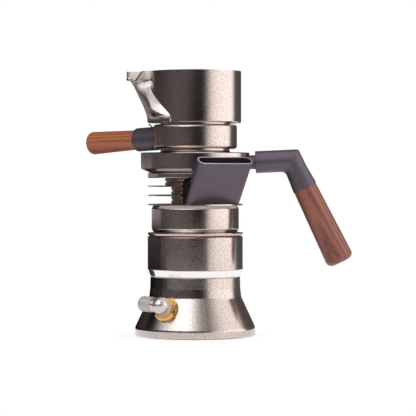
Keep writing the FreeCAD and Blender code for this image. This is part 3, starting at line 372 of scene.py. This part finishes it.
def coat(name, colour, roughness, grain=0.0007, relief=0.000010, bend=1.5, tint=(1, 1, 1, 1),
         rim=None, cloud=0.10):
    """Paint or moulded stuff with a fine orange-peel skin and slight wear in its shine.

    bend is the index of refraction, which sets how strongly the skin mirrors the room, and
    tint is the colour of that mirror image. rim is a place and a height along its Z, above which
    the coat is worn off and bare metal shows.
    """
    paint = Paint(name)
    spot = paint.object_place()
    skin = paint.noise(spot, grain, detail=3.0, rough=0.6)
    worn = paint.noise(spot, 0.012, detail=4.0)
    dark = [c * (1 - cloud) for c in colour]
    light = [c * (1 + cloud) for c in colour]
    tone = paint.mix(worn.ramp(0.3, 0.75), dark, light)
    bare = 0.0
    if rim:
        place, height = rim
        bare = paint.axes(paint.object_place(place))[2].ramp(height, height + RIM_BLEND)
        tone = paint.mix(bare, tone, BARE_METAL)
    return paint.finish(tone, roughness + 0.08 * (worn - 0.5), bare, paint.bump(skin, relief),
                        IOR=bend, Specular_Tint=tint)


charcoal = coat("charcoal", (0.042, 0.034, 0.042), 0.42, bend=1.9, tint=(0.90, 0.76, 0.92, 1))
guard_coat = coat("guard_coat", (0.020, 0.015, 0.020), 0.44, 0.0006, 0.000008, bend=2.05,
                  tint=(0.90, 0.74, 0.92, 1), rim=(guard_place, 0.04115))
black_block = coat("black_block", (0.004, 0.003, 0.004), 0.6, bend=1.3)
gasket = coat("gasket", (0.12, 0.022, 0.012), 0.6)
silicone = coat("silicone", (0.70, 0.66, 0.62), 0.55)
print(len(bpy.data.materials), "materials with the coats")

# %% [markdown]
# ## The stage
# A white table in a white room. Where the camera sees them or metal mirrors them, both glow
# evenly, so the background is white without more light on the pot, and the table glows a little
# less right under the pot. The world itself lights the pot more weakly than it shows.


# %% Floor and room
FLOOR_SIZE, FLOOR_DROP = 6.0, 0.0002
floor_points = np.array([(-1, -1, 0), (1, -1, 0), (1, 1, 0), (-1, 1, 0)], float) * FLOOR_SIZE
floor_points[:, 2] = -FLOOR_DROP
floor = link_mesh("floor", floor_points, np.array([(0, 1, 2, 3)]))
floor_paint = Paint("floor")
flat = floor_paint.node("BsdfDiffuse", {}, {"Color": (0.93, 0.92, 0.92)})
glow = floor_paint.node("Emission", {}, {"Color": (1, 1, 1), "Strength": 1.0})
seen = floor_paint.node("LightPath")
eyes = seen + Value(floor_paint, seen.socket.node.outputs["Is Glossy Ray"])
fx, fy = floor_paint.axes(floor_paint.object_place())[:2]
UNDER_POT, BESIDE_POT, SHADE = 0.05, 0.08, 0.25
away = ((fx * fx + fy * fy) ** 0.5).ramp(UNDER_POT, BESIDE_POT)
both = floor_paint.node("MixShader", {}, {0: eyes * (1 - SHADE + SHADE * away), 1: flat, 2: glow})
floor_paint.node("OutputMaterial", {}, {"Surface": both})
floor.data.materials.append(floor_paint.material)

WORLD_LEVEL = 0.55
scene.world = bpy.data.worlds.new("room")
room = Paint("room", scene.world)
path = room.node("LightPath")
mirrored = Value(room, path.socket.node.outputs["Is Glossy Ray"])
through = Value(room, path.socket.node.outputs["Is Transmission Ray"])
sight = path.math("MAXIMUM", path.math("MAXIMUM", path, mirrored), through)
level = room.node("MapRange", {}, {"Value": sight, "To Min": WORLD_LEVEL, "To Max": 1.0})
sky = room.node("Background", {}, {"Color": (1, 1, 1), "Strength": level})
room.node("OutputWorld", {}, {"Surface": sky})
print("room lights at", WORLD_LEVEL, "and shows at 1.0")

# %% [markdown]
# A tall soft lamp stands on the right, a narrow one in front, and two hang above. Each is a wide
# glowing rectangle and not a point, because a point gives hard shadows. The metal doesn't see
# them: what it mirrors is drawn apart, in the next step.


# %% Lamps
def around(azimuth, distance, height):
    """A spot at an angle to the right of the camera, as seen from the pot."""
    turn = math.radians(azimuth)
    return Vector((distance * math.sin(turn), -distance * math.cos(turn), height))


def soft_lamp(name, spot, aim, width, height, radiance, colour=(1.0, 0.97, 0.94)):
    """A rectangle that glows evenly. Power = radiance * pi * area."""
    data = bpy.data.lights.new(name, "AREA")
    data.shape = "RECTANGLE"
    data.size, data.size_y = width, height
    data.energy = radiance * math.pi * width * height
    data.color = colour
    lamp = bpy.data.objects.new(name, data)
    lamp.location = spot
    lamp.rotation_euler = (Vector(aim) - spot).to_track_quat("-Z", "Y").to_euler()
    lamp.visible_camera = lamp.visible_glossy = False
    scene.collection.objects.link(lamp)
    return lamp


soft_lamp("tall_lamp", around(76, 1.0, 0.62), (0, 0, 0.62), 1.45, 1.2, 1.75)
soft_lamp("front_lamp", around(31, 1.05, 0.62), (0, 0, 0.62), 0.28, 1.2, 0.7)
soft_lamp("high_lamp", around(-28, 0.95, 1.05), (0, 0, 0.05), 0.9, 0.7, 2.6)
soft_lamp("top_lamp", Vector((0, -0.2, 1.9)), (0, 0, 0), 2.2, 2.2, 1.3)

# %% [markdown]
# Metal mirrors the room, so the room is drawn for the metal alone: a round screen whose glow
# changes with the angle. Its low half is a dim room with one tall lamp, and its high half has
# a second, nearer lamp on the left. A band at an angle on a drum mirrors the room at twice that
# angle, so the glow was set until the drums' bands fell where the photographed ones are. Dim
# boards stand, and dim mats lie on the table, where a leaning surface would mirror too much
# white. Only reflections see them: they throw no shadow and the camera looks through them.


# %% Round screen
LOW_GLOW = (
    (-180, 0.09), (-140, 0.09), (-108, 0.10), (-79, 0.125), (-50, 0.15), (-25, 0.12), (-10, 0.065),
    (-3, 0.025), (8, 0.010), (17, 0.018), (23, 0.08), (28, 0.24), (33, 0.56), (38, 0.92), (48, 1.30),
    (60, 1.50), (90, 1.65), (103, 1.62), (108, 1.25), (113, 0.22), (120, 0.10), (150, 0.09), (180, 0.09),
)
HIGH_GLOW = (
    (-180, 0.004), (-105, 0.004), (-95, 0.05), (-85, 0.35), (-76, 0.8), (-57, 1.5), (-41, 2.1),
    (-20, 2.1), (-9, 1.65), (2, 0.95), (13, 0.50), (24, 0.34), (31, 0.26), (38, 0.40), (46, 0.68),
    (62, 1.15), (78, 1.30), (97, 1.36), (107, 1.20), (113, 0.35), (121, 0.08), (180, 0.01),
)
TOP_GLOW = 2.4
# Heights over which the low half grows dimmer, and the angles where its lamp and its tint end
DIM_LOW, DIM_HIGH = 0.19, 0.25
LAMP_FIRST, LAMP_LAST = 18, 28
TINT_FIRST, TINT_LAST = 15, 35


def screen(name, bottom, top, glow, tint, radius=1.35, fade=0.0, steps=96):
    """A part of the round screen between two heights. Only reflections see it.

    Point = (radius sin t, -radius cos t, bottom or top). tint colours its left side, and fade
    dims what isn't its lamp above DIM_LOW.
    """
    turn = np.linspace(0, 2 * math.pi, steps, endpoint=False)
    line = np.stack([np.sin(turn), -np.cos(turn), np.zeros(steps)], axis=1) * radius
    points = np.concatenate([line + (0, 0, bottom), line + (0, 0, top)])
    sheet = link_mesh(name, points, grid_faces(2, steps, around=True))
    sheet.visible_camera = sheet.visible_diffuse = sheet.visible_shadow = False
    sheet.visible_transmission = False
    paint = Paint(name)
    x, y, z = paint.axes(paint.object_place())
    angle = paint.node("Math", {"operation": "ARCTAN2"}, {0: x, 1: -1.0 * y}) * (180 / math.pi)
    stops = [((spot + 180) / 360, (value / TOP_GLOW,) * 3) for spot, value in glow]
    level = paint.node("ValToRGB", {"stops": stops}, {0: angle.ramp(-180, 180)})
    dim = 1 - fade * (z.ramp(DIM_LOW, DIM_HIGH) * (1 - angle.ramp(LAMP_FIRST, LAMP_LAST)))
    colour = paint.mix(angle.ramp(TINT_FIRST, TINT_LAST), tint, (1.0, 0.96, 0.94))
    shine = paint.node("Emission", {}, {"Color": colour, "Strength": TOP_GLOW * level * dim})
    paint.node("OutputMaterial", {}, {"Surface": shine})
    sheet.data.materials.append(paint.material)
    return sheet


def dark_board(name, first, last, inner, outer, level, steps=49):
    """A curved strip between two angles, from an inner to an outer (distance, height) pair.

    It is equally dim all over, upright or flat on the table, and only reflections see it.
    """
    turn = np.radians(np.linspace(first, last, steps))
    line = np.stack([np.sin(turn), -np.cos(turn), np.zeros(steps)], axis=1)
    edges = [line * distance + (0, 0, height) for distance, height in (inner, outer)]
    board = link_mesh(name, np.concatenate(edges), grid_faces(2, steps, around=False))
    board.visible_camera = board.visible_diffuse = board.visible_shadow = False
    board.visible_transmission = False
    paint = Paint(name)
    shine = paint.node("Emission", {}, {"Color": (1.0, 0.86, 0.93), "Strength": level})
    paint.node("OutputMaterial", {}, {"Surface": shine})
    board.data.materials.append(paint.material)
    return board


screen("screen_low", 0.0, 0.55, LOW_GLOW, (0.96, 0.84, 0.90), fade=0.42)
screen("screen_high", 0.55, 3.6, HIGH_GLOW, (0.97, 0.99, 1.0))
MAT_INNER, MAT_OUTER = (0.55, 0.0005), (1.35, 0.0005)
dark_board("board_low", -178, -70, (0.3, 0.0), (0.3, 0.045), 0.002)
dark_board("board_middle", -178, -86, (0.3, 0.045), (0.3, 0.085), 0.035)
dark_board("mat_left", -95, 30, MAT_INNER, MAT_OUTER, 0.10)
dark_board("mat_back", -178, -95, MAT_INNER, MAT_OUTER, 0.45)
dark_board("board_back", -176, -100, (0.6, 0.085), (0.6, 0.15), 0.40)
dark_board("mat_near", -178, -118, (0.12, 0.0008), (0.55, 0.0008), 0.05)
dark_board("mat_right", 116, 178, MAT_INNER, MAT_OUTER, 0.10)
print("stage set with", len(bpy.data.lights), "lamps")

# %% [markdown]
# ## Walnut
# A turned grip is cut from a board, so its grain is a set of growth rings whose centre lies
# outside the grip. On the sides the rings show as long streaks. Between them lie pores, short
# dark dashes along the grain. Both are worked out in three dimensions, so they run through.


# %% Wood finish
def walnut(name, place, pale, dark, pore, roughness=0.42, heart=(0.03, 0.012), ring=0.0031,
           wave=0.0040, seed=0.0):
    """Rings about a distant centre line, fibres and pores stretched along the place's Z.

    Ring = sin(2 pi (distance from the heart + wave * noise) / ring), and a pore lies where a
    second, finer noise peaks.
    """
    paint = Paint(name)
    spot = paint.object_place(place)
    x, y = paint.axes(spot)[:2]
    wander = paint.noise(paint.object_place(place, (1, 1, 0.16)), 0.012, detail=3.0, rough=0.55)
    across, deep = x - heart[0], y - heart[1]
    distance = (across * across + deep * deep) ** 0.5
    rings = (2 * math.pi / ring * (distance + wave * (wander - 0.5)) + seed).sine() * 0.5 + 0.5
    fibre = paint.noise(paint.object_place(place, (1, 1, 0.05)), 0.0007, detail=4.0, rough=0.7)
    dashes = paint.noise(paint.object_place(place, (1, 1, 0.09)), 0.00055, detail=2.0)
    pores = dashes.ramp(0.60, 0.68) * (0.35 + 0.65 * rings)
    wood = paint.mix(rings * 0.55 + 0.45 * fibre.ramp(0.3, 0.7), pale, dark)
    wood = paint.mix(pores, wood, pore)
    relief = (1 - pores) * 0.7 + fibre * 0.3
    return paint.finish(wood, roughness + 0.12 * pores - 0.05 * (rings - 0.5), 0.0,
                        paint.bump(relief, 0.00006), Coat_Weight=0.12, Coat_Roughness=0.3)


long_walnut = walnut("long_walnut", long_place, (0.26, 0.088, 0.060), (0.100, 0.026, 0.015),
                     (0.035, 0.010, 0.006))
short_walnut = walnut("short_walnut", short_place, (0.42, 0.135, 0.050), (0.19, 0.050, 0.022),
                      (0.10, 0.026, 0.012), heart=(-0.02, 0.028), seed=1.3)
print("two walnuts, their rings 3.1 mm apart")

# %% [markdown]
# ## The jug and its spout
# The jug is one thin wall. At the left it is drawn out into a spout: a flute that starts wide
# and shallow at the foot, and grows narrower and leans further out as it rises, until it ends
# in an open gutter that is cut off on the slant. It could be a drum and a spout joined by a
# boolean, but their seam would show as a crease in the mirrored light. So the wall is one grid:
# its rows are level sections, each a drum's circle with the spout's outline let into it.

# %% Sizes of the spout
JUG_BOTTOM, JUG_TOP, JUG_RADIUS, JUG_WALL = 183.1, 227.3, 39.5, 1.8
SPOUT_TURN = math.radians(184)
# Height in mm, reach of the nose, half width at the wall, and reach and half width of the ridge
SPOUT = np.array([
    (183.1, 41.0, 32.4, 23.6, 32.6), (187.5, 41.4, 32.1, 24.6, 32.2), (190.6, 42.1, 31.0, 32.0, 29.4),
    (193.9, 43.3, 28.7, 38.0, 25.6), (198.5, 45.2, 24.5, 40.0, 21.8), (204.9, 48.3, 17.5, 42.0, 15.6),
    (211.0, 51.2, 10.2, 43.9, 8.6), (214.5, 53.0, 6.9, 45.0, 6.0), (217.6, 54.5, 5.6, 45.9, 5.0),
    (218.5, 55.4, 5.2, 46.3, 4.8), (219.4, 58.4, 5.0, 46.5, 4.8), (220.4, 59.8, 5.2, 46.5, 5.0),
    (224.5, 60.0, 6.3, 46.5, 6.0), (227.3, 59.2, 7.2, 46.5, 7.0),
])
# How far the inside lies within the skin, for each of those four
NOSE_WALL, ROOT_WALL, RIDGE_WALL, RIDGE_SIDE_WALL = 1.6, 1.5, 1.4, 1.6
# The ridge lies at this share of the outline, and the flank runs from there to the root
RIDGE_SHARE = 0.6
# The gutter: the height where it starts, the height it takes to form, its rounding and its flare,
# and the shares of the outline at which its flat front and its corner end
GUTTER_START, GUTTER_RISE, GUTTER_ROUND, GUTTER_FLARE = 218.0, 1.6, 3.0, 0.13
FRONT_SHARE, CORNER_SHARE = 0.3, 0.5
# The slanting cut: what lies beyond CUT_REACH goes, less CUT_LEAN for each mm above CUT_LEVEL
CUT_SLOPE, CUT_REACH, CUT_LEAN, CUT_LEVEL, CUT_LOWEST = 0.98, 55.7, 0.45, 219.3, 212.0
# Rows are level up to here, and above it they ease into the top edge
LEVEL_TOP = 206.0


def eased(height, column):
    """A smooth curve through one column of the table, with the slope of its neighbours at each row."""
    rows, values = SPOUT[:, 0], SPOUT[:, column]
    slope = np.gradient(values, rows)
    height = np.clip(height, rows[0], rows[-1])
    spot = np.clip(np.searchsorted(rows, height) - 1, 0, len(rows) - 2)
    step = rows[spot + 1] - rows[spot]
    t = (height - rows[spot]) / step
    return ((1 + 2 * t) * (1 - t) ** 2 * values[spot] + t * (1 - t) ** 2 * step * slope[spot]
            + t * t * (3 - 2 * t) * values[spot + 1] + t * t * (t - 1) * step * slope[spot + 1])


print("spout reaches", SPOUT[:, 1].max(), "mm from the axis")

# %% [markdown]
# One function gives the spout's outline at any height, for the skin and the inside alike, so
# the two never cross. It blends the flute of the lower part into the gutter of the upper part.


# %% Outline of the spout
def spout_outline(share, height, inset):
    """Reach and side of the spout's outline, for shares from -1 (far root) to 1 (near root).

    Low down its front is a parabola, reach = nose - (nose - ridge) * (side / ridge side)^2, and
    a flat flank runs from the ridge to the root on the drum. High up it is a gutter with
    straight sides and rounded corners. inset is 0 for the skin and 1 for the inside.
    """
    drum = JUG_RADIUS - inset * JUG_WALL
    nose = eased(height, 1) - NOSE_WALL * inset
    half = eased(height, 2) - ROOT_WALL * inset
    root = np.sqrt(drum**2 - half**2)
    ridge = np.maximum(eased(height, 3) - RIDGE_WALL * inset, root)
    ridge_half = eased(height, 4) - RIDGE_SIDE_WALL * inset
    away = np.abs(share)
    front = np.clip(away / RIDGE_SHARE, 0, 1)
    flank = np.clip((away - RIDGE_SHARE) / (1 - RIDGE_SHARE), 0, 1)
    low_reach = nose - (nose - ridge) * front**2 + (root - ridge) * flank
    low_side = ridge_half * front + (half - ridge_half) * flank
    corner = GUTTER_ROUND - inset
    bend = np.clip((CORNER_SHARE - away) / (CORNER_SHARE - FRONT_SHARE), 0, 1) * math.pi / 2
    along = np.clip((1 - away) / (1 - CORNER_SHARE), 0, 1)
    high_reach = root + (nose - corner - root) * along + corner * np.sin(bend)
    high_side = np.where(away > FRONT_SHARE, half - corner + corner * np.cos(bend),
                         (half - corner) * away / FRONT_SHARE)
    high_side = high_side * (1 + GUTTER_FLARE * along)
    blend = np.clip((height - GUTTER_START) / GUTTER_RISE, 0, 1)
    blend = blend * blend * (3 - 2 * blend)
    reach = low_reach * (1 - blend) + high_reach * blend
    side = np.sign(share) * (low_side * (1 - blend) + high_side * blend)
    return soften(reach), soften(side)


def soften(line, reach=4):
    """Each point becomes the mean of its neighbours along the outline. The ends stay."""
    padded = np.pad(line, [(0, 0)] * (line.ndim - 1) + [(reach, reach)], mode="reflect", reflect_type="odd")
    total = np.cumsum(padded, axis=-1)
    total = np.concatenate([np.zeros_like(total[..., :1]), total], axis=-1)
    width = 2 * reach + 1
    return (total[..., width:] - total[..., :-width]) / width


def cut_height(share, inset, steps=240):
    """The height at which the slanting cut takes off each share of the outline."""
    heights = np.linspace(CUT_LOWEST, JUG_TOP, steps)
    reach, side = spout_outline(share[None, :], heights[:, None], inset)
    beyond = reach + CUT_SLOPE * side - (CUT_REACH - CUT_LEAN * (heights[:, None] - CUT_LEVEL))
    first = np.argmax(beyond > 0, axis=0)
    return np.where(beyond.max(axis=0) > 0, np.clip(heights[first], CUT_LOWEST, JUG_TOP), JUG_TOP)


def jug_rows(share, turn, top, rows, inset):
    """Points of the jug's rows, each row given as (height, lean towards the top edge, edge).

    Level = height + (top - height) * lean. The drum's part of a row is an arc from one root of
    the spout round to the other, and edge pulls a row in, to round or close an end.
    """
    points = []
    drum = JUG_RADIUS - inset * JUG_WALL
    for height, lean, edge in rows:
        level = np.minimum(height + (top - height) * lean, JUG_TOP)
        reach, side = spout_outline(share, level[: len(share)], inset)
        start = np.arctan2(side[0], reach[0]), np.arctan2(side[-1], reach[-1])
        arc = start[1] + turn * (start[0] + 2 * math.pi - start[1])
        reach = np.concatenate([reach, drum * np.cos(arc)])
        side = np.concatenate([side, drum * np.sin(arc)])
        near = 1 - edge / np.hypot(reach, side)
        points.append(np.stack([reach * near, side * near, level], axis=1))
    return points


# %% [markdown]
# The wall's rows run up the outside, over the cut edge, down the inside and across the floor to
# the hole of the outlet column, which closes the shell. The cut edge's strip of faces gets a
# finish of its own, painted dark: a painted reflection of the dark that the thin edge mirrors.

# %% Jug wall
FLOOR_THICK, FLOOR_ROUND, HOLE_RADIUS, FOOT_EDGE = 2.4, 3.0, 8.0, 0.8
SPOUT_COLUMNS, DRUM_COLUMNS = 241, 171
LOW_ROWS, EASED_ROWS, INNER_ROWS, ROUND_ROWS = 26, 40, 18, 7
share = -np.cos(np.linspace(0, math.pi, SPOUT_COLUMNS))
share = 0.5 * share + 0.5 * np.linspace(-1, 1, SPOUT_COLUMNS)
turn = np.linspace(0, 1, DRUM_COLUMNS)[1:-1]
columns = len(share) + len(turn)
tops = [np.concatenate([cut_height(share, inset), np.full(len(turn), JUG_TOP)]) for inset in (0.0, 1.0)]
low_rows = [(height, 0.0, 0.0) for height in np.linspace(JUG_BOTTOM + FOOT_EDGE, LEVEL_TOP, LOW_ROWS)]
high_rows = [(LEVEL_TOP, lean, 0.0) for lean in np.linspace(0, 1, EASED_ROWS)[1:]]
outside = jug_rows(share, turn, tops[0], [(JUG_BOTTOM, 0.0, FOOT_EDGE)] + low_rows + high_rows, 0.0)
floor_top = JUG_BOTTOM + FLOOR_THICK
floor_rows = [(LEVEL_TOP, lean, 0.0) for lean in np.linspace(1, 0, EASED_ROWS)[:-1]]
floor_rows += [(height, 0.0, 0.0)
               for height in np.linspace(LEVEL_TOP, floor_top + FLOOR_ROUND, INNER_ROWS)]
floor_rows += [(floor_top + FLOOR_ROUND * (1 - math.sin(a)), 0.0, FLOOR_ROUND * (1 - math.cos(a)))
               for a in np.linspace(0, math.pi / 2, ROUND_ROWS)[1:]]
inside = jug_rows(share, turn, tops[1], floor_rows, 1.0)
angle = np.arctan2(outside[0][:, 1], outside[0][:, 0])
hole = [np.stack([HOLE_RADIUS * np.cos(angle), HOLE_RADIUS * np.sin(angle), np.full(columns, z)], axis=1)
        for z in (floor_top, JUG_BOTTOM)]
rows = outside + inside + hole
points = np.concatenate(rows) * MM
cos, sin = math.cos(SPOUT_TURN), math.sin(SPOUT_TURN)
points = points @ np.array([(cos, sin, 0), (-sin, cos, 0), (0, 0, 1)])
jug = link_mesh("jug_wall", points, grid_faces(len(rows), columns, around=True, along=True), 32)
for finish in (jug_steel, cut_edge_painted_reflection):
    jug.data.materials.append(finish)
# The strip of faces over the cut edge takes the painted dark reflection.
on_cut = tops[0] < JUG_TOP - 0.01
finish_of = np.zeros((len(rows), columns), int)
finish_of[len(outside) - 1] = on_cut
jug.data.polygons.foreach_set("material_index", finish_of.ravel())
close_seam(jug, 1e-7)
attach(jug, "jug")
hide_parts("jug_shell")
print("jug wall", len(jug.data.polygons), "faces")

# %% [markdown]
# ## Two turned rings
# Under the fins sits a plain collar with an undercut foot, and below it a ring whose side leans
# in. Both are turned on a lathe, so each is a profile swept about the pot's axis. The undercut
# mirrors the flat top of the ring, and that mirrors the lamp above: it shows as a bright line.

# %% Collar and ring
collar_profile = smooth_profile([
    (31.6, 80.0), (37.0, 80.0, 0), (37.0, 88.6, 0), (34.0, 88.6, 0), (34.0, 89.2, 0), (36.0, 89.5, 0.3),
    (37.5, 92.4, 0.5), (37.5, 109.4, 0.6), (36.0, 112.5, 0.3), (4.0, 112.5, 0), (4.0, 109.5, 0),
    (31.6, 109.5, 0), (31.6, 80.0),
], 0.5, 8)
collar_piece = turned("collar_turned", collar_profile)
seam_profile = smooth_profile([
    (37.0, 86.9), (40.3, 86.9, 0.15), (41.0, 88.3, 0.15), (41.0, 89.0, 0.2), (37.0, 89.0, 0), (37.0, 86.9),
], 0.2, 4)
seam_piece = turned("seam_ring", seam_profile)
for piece, node in ((collar_piece, "collar"), (seam_piece, "seam_flange")):
    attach(piece, "main")
    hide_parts(node)
    piece.data.materials.append(blasted_steel)
    print(piece.name, len(piece.data.polygons), "faces")

# %% [markdown]
# ## Finish each solid
# Every solid of the frame now gets the finish of its real piece. One table names the pieces of
# each finish, so that a finish is chosen and changed in one place.

# %% Assign the finishes
finishes = {
    blasted_steel: "base_boiler lower_body seam_flange collar top_plate group_flange clamp_ring clamp_tab "
                   "jug_shell jug_spacer jug_foot",
    hob_plate: "base_plate",
    polished: "outlet_column",
    bright_ring: "neck_ring",
    fin_metal: "lower_fin middle_fin upper_fin",
    bronzed_core: "lower_core middle_core upper_core",
    inner_steel: "dip_tube riser_tube inlet_block outlet_block heat_coil shower_plate basket top_screen "
                 "clamp_stud handle_stud grip_rod guard_screw_left guard_screw_right",
    spring_steel: "valve_spring outlet_spring",
    brass: "valve_bush valve_poppet outlet_poppet",
    valve_polish: "valve_body",
    cap_alloy: "valve_cap",
    charcoal: "clamp_ferrule handle_neck handle_elbow",
    guard_coat: "thumb_guard",
    black_block: "guard_block",
    gasket: "seam_gasket",
    silicone: "boiler_seal basket_seal",
    long_walnut: "long_grip",
    short_walnut: "clamp_grip",
}
for material, names in finishes.items():
    for name in names.split():
        solid = nodes[name]
        solid.data.materials.clear()
        solid.data.materials.append(material)
print(sum(len(names.split()) for names in finishes.values()), "solids finished")
